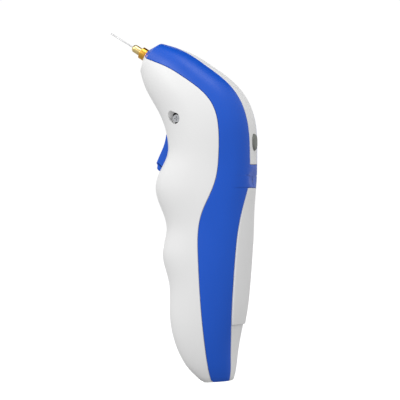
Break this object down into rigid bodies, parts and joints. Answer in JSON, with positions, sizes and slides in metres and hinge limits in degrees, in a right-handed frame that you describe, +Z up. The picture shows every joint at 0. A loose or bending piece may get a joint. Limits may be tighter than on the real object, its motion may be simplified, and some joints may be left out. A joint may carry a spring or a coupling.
{
  "type": "motorized pipette controller",
  "caption": "Bent-head pistol handle with a finger-grooved grip, one trigger, a brass nozzle with a fine needle, side inlays and a rear battery door.",
  "frame": {"origin": "middle of the grip, where the palm holds it", "axes": "+Z up as held, -X towards the nozzle and trigger, -Y the holder's left; symmetric about the plane Y = 0"},
  "size_m": [0.0766, 0.037, 0.1746],
  "materials": {
    "case_plastic": "white moulded plastic, satin gloss",
    "trim_plastic": "blue moulded plastic, satin gloss",
    "button_plastic": "grey moulded plastic, matte",
    "dark_plastic": "black moulded plastic",
    "connector_plastic": "natural nylon",
    "brass": "turned brass",
    "hub_brass": "bright turned brass",
    "needle_steel": "drawn stainless steel",
    "screw_steel": "zinc-plated steel",
    "spring_steel": "spring steel",
    "frame_aluminium": "machined aluminium",
    "seal_rubber": "black nitrile",
    "cell_sleeve": "shrink sleeve",
    "board_green": "solder-masked board",
    "chip_black": "moulded chip package"
  },
  "bodies": {
    "handle": {"shell_left": "case_plastic", "shell_right": "case_plastic", "trim_left": "trim_plastic", "trim_right": "trim_plastic", "case_screws": "screw_steel", "nozzle_bushing": "brass", "barrel_seal": "seal_rubber", "barrel": "frame_aluminium", "bearing_outer_ring": "needle_steel", "bearing_balls": "needle_steel", "drive_chassis": "frame_aluminium", "chassis_screws": "screw_steel", "motor_can": "screw_steel", "motor_cap": "dark_plastic", "motor_tags": "brass", "gearhead": "screw_steel", "gearhead_screws": "screw_steel", "trigger_pin": "screw_steel", "trigger_spring": "spring_steel", "trigger_switch": "dark_plastic", "button_board": "board_green", "tact_switch": "dark_plastic", "battery_cell": "cell_sleeve", "battery_tray": "dark_plastic", "contact_spring": "spring_steel", "contact_plate": "spring_steel", "main_board": "board_green", "board_screws": "screw_steel", "controller_chip": "chip_black", "motor_driver": "chip_black", "board_capacitors": "frame_aluminium", "motor_connector": "connector_plastic", "charge_socket": "screw_steel", "charge_board": "board_green"},
    "battery_door": {"battery_door": "case_plastic"},
    "trigger": {"trigger": "trim_plastic"},
    "switch_plunger": {"switch_plunger": "dark_plastic"},
    "mode_button": {"mode_button": "button_plastic", "tact_plunger": "dark_plastic"},
    "collet_nut": {"collet_nut": "brass"},
    "needle": {"needle_hub": "hub_brass", "needle": "needle_steel"},
    "lead_screw": {"lead_screw": "needle_steel", "screw_gear": "brass", "bearing_inner_ring": "needle_steel", "screw_clip": "screw_steel"},
    "piston": {"piston": "needle_steel", "piston_seal": "seal_rubber", "piston_rod": "needle_steel", "carriage_nut": "brass"},
    "motor_pinion": {"motor_shaft": "needle_steel", "motor_pinion": "needle_steel"}
  },
  "joints": [
    {"name": "trigger_press", "type": "hinge", "parent": "handle", "child": "trigger", "pos_m": [-0.0145, 0, 0.0508], "axis": [0, -1, 0], "range_deg": [0, 12], "stiffness_Nm_per_rad": 0.25, "springref_deg": -6.88, "deforming": ["trigger_spring"]},
    {"name": "switch_plunger_press", "type": "slide", "parent": "handle", "child": "switch_plunger", "axis": [1, 0, 0], "range_m": [0, 0.0016]},
    {"name": "mode_button_press", "type": "slide", "parent": "handle", "child": "mode_button", "axis": [-1, 0, 0], "range_m": [0, 0.0008], "stiffness_N_per_m": 1500, "springref_m": -0.0006},
    {"name": "battery_door_open", "type": "hinge", "parent": "handle", "child": "battery_door", "pos_m": [0.0253, 0, 0.02575], "axis": [0, -1, 0], "range_deg": [0, 60]},
    {"name": "collet_turn", "type": "hinge", "parent": "handle", "child": "collet_nut", "pos_m": [-0.0293, 0, 0.09135], "axis": [0.8545, 0, -0.5195], "range_deg": [0, 180]},
    {"name": "needle_pull", "type": "slide", "parent": "handle", "child": "needle", "axis": [-0.8545, 0, 0.5195], "range_m": [0, 0.0075]},
    {"name": "screw_spin", "type": "hinge", "parent": "handle", "child": "lead_screw", "pos_m": [-0.0293, 0, 0.09135], "axis": [-0.8545, 0, 0.5195], "range_deg": [0, 2160]},
    {"name": "piston_stroke", "type": "slide", "parent": "handle", "child": "piston", "axis": [0.8545, 0, -0.5195], "range_m": [0, 0.009]},
    {"name": "motor_spin", "type": "hinge", "parent": "handle", "child": "motor_pinion", "pos_m": [-0.03398, 0, 0.08366], "axis": [-0.8545, 0, 0.5195], "range_deg": [-4320, 0]}
  ],
  "couplings": [
    {"joint": "switch_plunger_press", "follows": "trigger_press", "m_per_rad": 0.00716},
    {"joint": "screw_spin", "follows": "piston_stroke", "rad_per_m": 4188.8},
    {"joint": "motor_spin", "follows": "piston_stroke", "rad_per_m": -8377.6}
  ]
}
